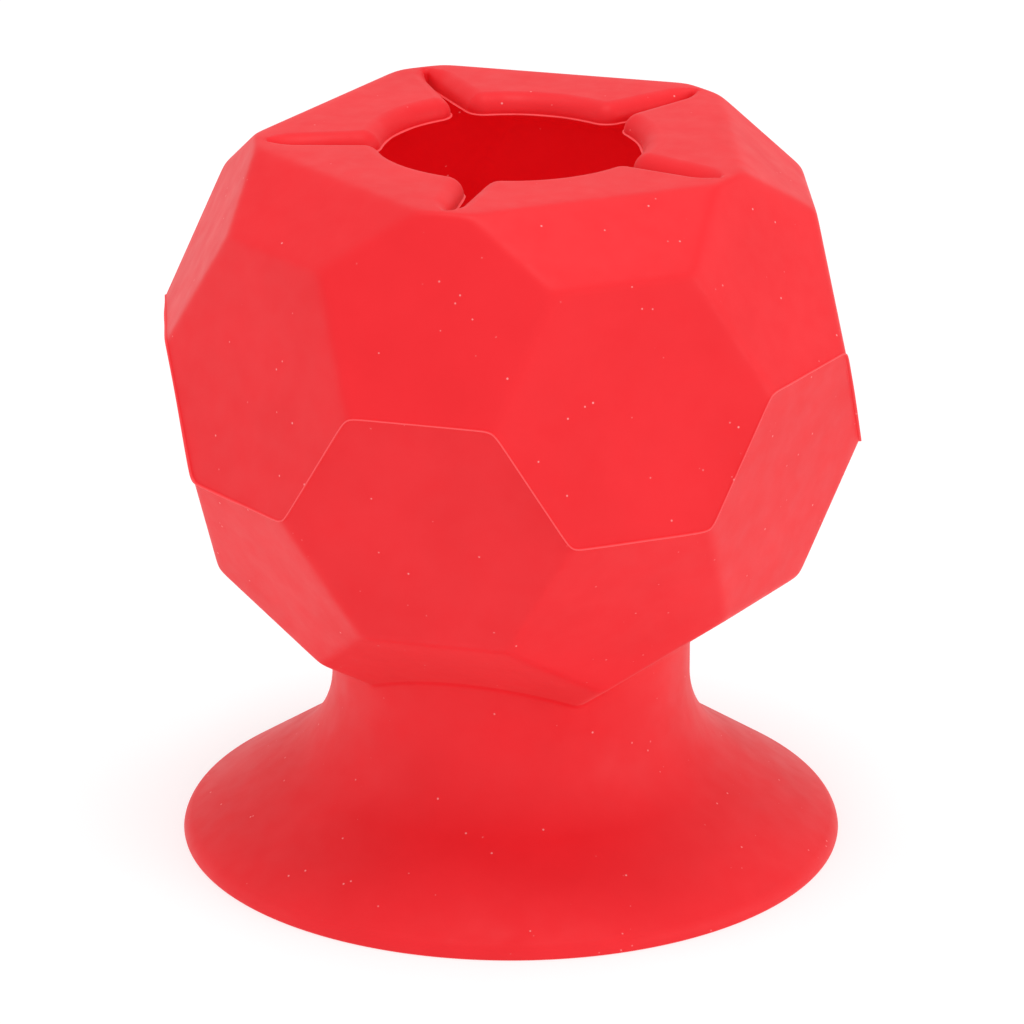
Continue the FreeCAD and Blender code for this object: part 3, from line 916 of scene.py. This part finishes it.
def make_neck(ball_end):
    """The stem: round, and closed against the facets of the ball's lower end with a small fillet."""
    builder = Builder()

    def on_ball(radius):
        """A ring on the ball's lower end."""
        own = back_from_other_half(ring_of(radius, 0))
        return other_half(ball_end.lift(own[:, :2]))

    foot = ring_of(NECK_RADIUS, NECK_FOOT - CENTRE_HEIGHT)
    wall_way = ring_of(1, 0)
    start = on_ball(NECK_RADIUS)
    start[:, 2] -= NECK_FILLET
    rings = [(foot + (start - foot) * share, wall_way) for share in np.linspace(0, 1, 9)]
    for share in (0.15, 0.3, 0.45, 0.6, 0.8, 1.0):
        ring = on_ball(NECK_RADIUS + 0.8 * NECK_FILLET * share**2)
        ring[:, 2] -= NECK_FILLET * (1 - share) ** 2
        rings.append((ring, None))
    rows = [builder.add(ring, way) for ring, way in rings]
    for (_, way), before, now in zip(rings[1:], rows, rows[1:]):
        builder.strip(before, now, AUTO if way is None else SKIN)
    inner = builder.add(ring_of(RECESS_RADIUS, -BALL_FOOT_OFFSET))
    builder.strip(rows[-1], inner, AUTO)
    for ring, height in ((inner, -BALL_FOOT_OFFSET), (rows[0], NECK_FOOT - CENTRE_HEIGHT)):
        builder.fan(ring, builder.add([[0, 0, height]])[0], AUTO)
    return builder.make("neck_stem")


def make_skirt():
    """The trumpet-shaped skirt and the hollow under it."""
    centre = (NECK_RADIUS + FOOT_FILLET, NECK_FOOT)
    slope_turn = 270 - math.degrees(FOOT_SLOPE)
    curve, ways = arc(centre, FOOT_FILLET, 180, slope_turn, 24)
    lip = rim_arc(0)[0][-1]
    slope_way = (math.sin(FOOT_SLOPE), math.cos(FOOT_SLOPE))
    slope = between(curve[-1], lip, 20)
    inner_lip = (RIM_INNER_RADIUS, LIP_HEIGHT)
    wall_turn = math.atan2(DOME_HEIGHT - LIP_HEIGHT, RIM_INNER_RADIUS - DOME_RADIUS)
    inner_way = (-math.sin(wall_turn), -math.cos(wall_turn))
    reach = DOME_ROUND * math.tan(wall_turn / 2)
    ceiling_end = (DOME_RADIUS - reach, DOME_HEIGHT)
    dome_centre = (ceiling_end[0], DOME_HEIGHT - DOME_ROUND)
    dome, dome_ways = arc(dome_centre, DOME_ROUND, 90, 90 - math.degrees(wall_turn), 8)
    inner = between(dome[-1], inner_lip, 16)
    shape = Profile()
    shape.run(between((0, NECK_FOOT), (NECK_RADIUS, NECK_FOOT), 6))
    shape.run(curve, -ways)
    shape.run(slope, [slope_way] * len(slope))
    shape.run(between(lip, inner_lip, 3)[1:-1])
    shape.run(inner[::-1], [inner_way] * len(inner))
    shape.run(dome[::-1], -dome_ways[::-1])
    ceiling = between(ceiling_end, (0, DOME_HEIGHT), 5)
    shape.run(ceiling, [(0, -1)] * len(ceiling))
    return lathe("suction_skirt_skin", shape.points, shape.facings, shape.skin)


def rim_arc(first):
    """The rounding of the rim's outer edge, from a turn in degrees up to the foot's slope."""
    return arc((RIM_RADIUS - RIM_ROUND, 0), RIM_ROUND, first, 90 - math.degrees(FOOT_SLOPE), 12)


def make_rim():
    """The lip: its outside carries the skirt's slope on into the rounding, flat below."""
    curve, ways = rim_arc(8)
    sole_in = RIM_RADIUS - RIM_ROUND
    start = curve[0]
    inner_way = unit(np.array([-LIP_HEIGHT, -(sole_in - RIM_INNER_RADIUS)]))
    inner = between((sole_in, 0), (RIM_INNER_RADIUS, LIP_HEIGHT), 6)[1:]
    shape = Profile()
    shape.run(between((RIM_INNER_RADIUS, LIP_HEIGHT), tuple(curve[-1]), 3)[1:-1])
    shape.run(curve[::-1], ways[::-1])
    sole_out = (start[0] - RIM_BEVEL, 0.0)
    shape.run([(start[0] - RIM_BEVEL * 0.25, RIM_BEVEL * 0.3), sole_out], [(0.8, -0.6), (0, -1)])
    sole = between(sole_out, (sole_in + 0.1, 0.0), 3)
    shape.run(sole, [(0, -1)] * len(sole))
    shape.run([(sole_in - 0.08, 0.06)], [unit(np.array([-0.45, -0.9]))])
    shape.run(inner, [inner_way] * len(inner))
    return lathe("sealing_rim_lip", shape.points, shape.facings, shape.skin)


# ======== making the pieces
INNER_FLOOR = BALL_FOOT_OFFSET - FLOOR_THICKNESS
outer_open = Half(1.0, FLAT_OFFSET, True)
outer_plain = Half(1.0, FLAT_OFFSET, False)
outer_foot = Half(1.0, BALL_FOOT_OFFSET, False)
inner_top = Half(WALL_SCALE, UNDERSIDE, False)
inner_floor = Half(WALL_SCALE, INNER_FLOOR, False)

upper = Builder()
add_facets(upper, outer_open, outer_plain, False)
add_ledge(upper, outer_open, inner_top)
add_facets(upper, inner_top, inner_top, True)
add_parting(upper, outer_open, inner_top, outer_plain, inner_top, False)
upper_skin = upper.make("upper_shell_skin")

lower = Builder()
add_facets(lower, outer_foot, outer_plain, False)
add_cap(lower, outer_foot, False)
add_facets(lower, inner_floor, inner_floor, True)
add_cap(lower, inner_floor, True)
add_parting(lower, outer_foot, inner_floor, outer_plain, inner_floor, True)
lower_skin = lower.make("lower_shell_skin", flipped=True)

plan = flap_mesh_plan(inner_top)
flaps = [add_flap(f"flap_{k + 1}_skin", k, outer_open, plan) for k in range(SIDES)]

neck = make_neck(outer_foot)
skirt = make_skirt()
rim = make_rim()


# ======== the silicone
RED_DEEP = (0.85, 0.007, 0.014, 1)
RED_BRIGHT = (0.89, 0.01, 0.018, 1)
# painted highlight: this paler red stands in for light catching and shining through the thin moulding flash
FLASH_PAINTED_HIGHLIGHT = (0.98, 0.09, 0.1, 1)
DUST = (0.95, 0.3, 0.3, 1)
SHEEN_TINT = (1, 0.75, 0.75, 1)
SILICONE_IOR = 1.41
MOTTLE_SCALE, SPECK_CELLS, DUSTY_PATCHES = 90, 800, 400      # all per metre
ROUGHNESS_SCALE, GRAIN_SCALE, WOBBLE_SCALE = 400, 2600, 160


def set_inputs(node, values):
    """Gives a shader node's inputs their values."""
    for name, value in values.items():
        node.inputs[name].default_value = value


def silicone():
    """Matte red silicone with faint mottling, fine texture, a painted highlight on the thin flash and
    specks of dust.
    """
    material = bpy.data.materials.new("red_silicone")
    material.use_nodes = True
    tree = material.node_tree
    tree.nodes.clear()
    link = tree.links.new

    def new_node(kind, inputs=None, **settings):
        node = tree.nodes.new("ShaderNode" + kind)
        for name, value in settings.items():
            setattr(node, name, value)
        set_inputs(node, inputs or {})
        return node

    place = new_node("TexCoord").outputs["Object"]

    def noise(scale, detail):
        node = new_node("TexNoise", {"Scale": scale, "Detail": detail})
        link(place, node.inputs["Vector"])
        return node.outputs["Fac"]

    def ranged(source, low, high, to_low, to_high):
        values = {"From Min": low, "From Max": high, "To Min": to_low, "To Max": to_high}
        node = new_node("MapRange", values)
        link(source, node.inputs["Value"])
        return node.outputs["Result"]

    def mixed(factor, first, second):
        node = new_node("Mix", data_type="RGBA")
        link(factor, node.inputs["Factor"])
        for socket, value in ((node.inputs["A"], first), (node.inputs["B"], second)):
            if isinstance(value, tuple):
                socket.default_value = value
            else:
                link(value, socket)
        return node.outputs["Result"]

    def bump(height, strength, distance):
        node = new_node("Bump", {"Strength": strength, "Distance": distance})
        link(height, node.inputs["Height"])
        return node

    mottle = ranged(noise(MOTTLE_SCALE, 4), 0.35, 0.65, 0, 1)
    colour = mixed(mottle, RED_DEEP, RED_BRIGHT)
    # painted highlight on the flash, strongest at its thin tip
    flash = new_node("Attribute", attribute_name="flash").outputs["Fac"]
    colour = mixed(flash, colour, FLASH_PAINTED_HIGHLIGHT)
    cells = new_node("TexVoronoi", {"Scale": SPECK_CELLS})
    link(place, cells.inputs["Vector"])
    speck = ranged(cells.outputs["Distance"], 0.11, 0.05, 0, 1)
    patches = ranged(noise(DUSTY_PATCHES, 1), 0.56, 0.62, 0, 1)
    dust = new_node("Math", operation="MULTIPLY")
    link(speck, dust.inputs[0])
    link(patches, dust.inputs[1])
    colour = mixed(dust.outputs[0], colour, DUST)
    rough = ranged(noise(ROUGHNESS_SCALE, 3), 0.3, 0.7, 0.5, 0.62)
    fine = bump(noise(GRAIN_SCALE, 3), 0.12, 0.00003)
    soft = bump(noise(WOBBLE_SCALE, 2), 0.25, 0.0001)
    link(fine.outputs["Normal"], soft.inputs["Normal"])
    sheen = {"Sheen Weight": 0.12, "Sheen Roughness": 0.4, "Sheen Tint": SHEEN_TINT}
    shader = new_node("BsdfPrincipled", {"IOR": SILICONE_IOR, **sheen})
    link(colour, shader.inputs["Base Color"])
    link(rough, shader.inputs["Roughness"])
    link(soft.outputs["Normal"], shader.inputs["Normal"])
    link(shader.outputs["BSDF"], new_node("OutputMaterial").inputs["Surface"])
    return material


red = silicone()
for piece in [upper_skin, lower_skin, neck, skirt, rim, *flaps]:
    piece.data.materials.append(red)

# ======== what each piece rides on
for piece, node in ((upper_skin, "upper_shell"), (lower_skin, "lower_shell"), (neck, "neck")):
    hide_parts(node)
    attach(piece, "holder")
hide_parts("sealing_rim")
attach(rim, "base")
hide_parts("suction_skirt")
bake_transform(skirt)
for k, flap in enumerate(flaps):
    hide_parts(f"mouth_flap_{k + 1}")
    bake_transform(flap)


# ======== floor, light and camera
# All lengths from here on are in metres.
LIGHTS = (                   # name, place, size, power
    ("top_light", (0.05, -0.1, 1.3), 0.4, 4.9),
    ("front_light", (0.35, -1.3, 0.5), 0.8, 1.0),
    ("left_light", (-0.9, -0.3, 0.35), 0.5, 0.6),
    ("right_light", (0.95, -0.1, 0.35), 0.5, 1.6),
)
LIGHTS_AIM = Vector((0, 0, 0.04))
WORLD_STRENGTH = 0.7
WHITE = (1, 1, 1, 1)
FLOOR_REACH = 4.0
FLOOR_GREY = (0.4, 0.4, 0.4, 1)
FLOOR_GLOW = 0.65            # keeps the pale floor white round the foot
INNER_GLOW = 0.0095
INNER_GLOW_SIZE = 0.006
INNER_GLOW_COLOUR = (0.7, 1, 1)
INNER_GLOW_HEIGHT = (CENTRE_HEIGHT - 4) * MM


def make_floor():
    mesh = bpy.data.meshes.new("floor")
    signs = ((-1, -1), (1, -1), (1, 1), (-1, 1))
    mesh.from_pydata([(x * FLOOR_REACH, y * FLOOR_REACH, 0) for x, y in signs], [], [[0, 1, 2, 3]])
    floor = placed("floor", mesh)
    white = bpy.data.materials.new("floor_white")
    white.use_nodes = True
    matte = {"Base Color": FLOOR_GREY, "Roughness": 0.9, "Specular IOR Level": 0}
    glow = {"Emission Color": WHITE, "Emission Strength": FLOOR_GLOW}
    set_inputs(white.node_tree.nodes["Principled BSDF"], {**matte, **glow})
    floor.data.materials.append(white)


def make_light(name, place, size, power):
    """A soft round light aimed at the part."""
    data = bpy.data.lights.new(name, "AREA")
    data.shape = "DISK"
    data.size = size
    data.energy = power
    light = placed(name, data)
    light.location = place
    towards = LIGHTS_AIM - Vector(place)
    light.rotation_mode = "QUATERNION"
    light.rotation_quaternion = towards.to_track_quat("-Z", "Y")


def make_inner_glow():
    """The light that thin silicone lets through into the hollow."""
    data = bpy.data.lights.new("inner_glow", "POINT")
    data.shadow_soft_size = INNER_GLOW_SIZE
    data.energy = INNER_GLOW
    data.color = INNER_GLOW_COLOUR
    light = placed("inner_glow", data)
    light.location = (0, 0, INNER_GLOW_HEIGHT)
    light.visible_camera = False
    light.visible_glossy = False


make_floor()
for light_name, place, spread, power in LIGHTS:
    make_light(light_name, place, spread, power)
make_inner_glow()
world = bpy.data.worlds.new("studio")
world.use_nodes = True
set_inputs(world.node_tree.nodes["Background"], {"Color": WHITE, "Strength": WORLD_STRENGTH})
bpy.context.scene.world = world
bpy.context.scene.view_settings.view_transform = "Standard"

CAMERA_TURN = math.radians(14.68)
CAMERA_TILT = math.radians(21.10)
CAMERA_LENS = 216.35
CAMERA_REACH = (-0.0023, 0.3525, 15.014)     # across, up and away from the ball, in CORNER_REACH lengths


def make_camera():
    """A long lens a little above the ball, turned to its right."""
    turn, tilt = CAMERA_TURN, CAMERA_TILT
    right = Vector((math.cos(turn), math.sin(turn), 0))
    level = math.cos(tilt)
    forward = Vector((-math.sin(turn) * level, math.cos(turn) * level, -math.sin(tilt)))
    up = right.cross(forward)
    across, rise, away = (c * CORNER_REACH * MM for c in CAMERA_REACH)
    data = bpy.data.cameras.new("camera")
    data.lens = CAMERA_LENS
    data.sensor_width = 36
    camera = placed("camera", data)
    ball = Vector((0, 0, CENTRE_HEIGHT * MM))
    place = ball - across * right - rise * up - away * forward
    axes = Matrix((right, up, -forward)).transposed().to_4x4()
    camera.matrix_world = Matrix.Translation(place) @ axes
    bpy.context.scene.camera = camera


make_camera()
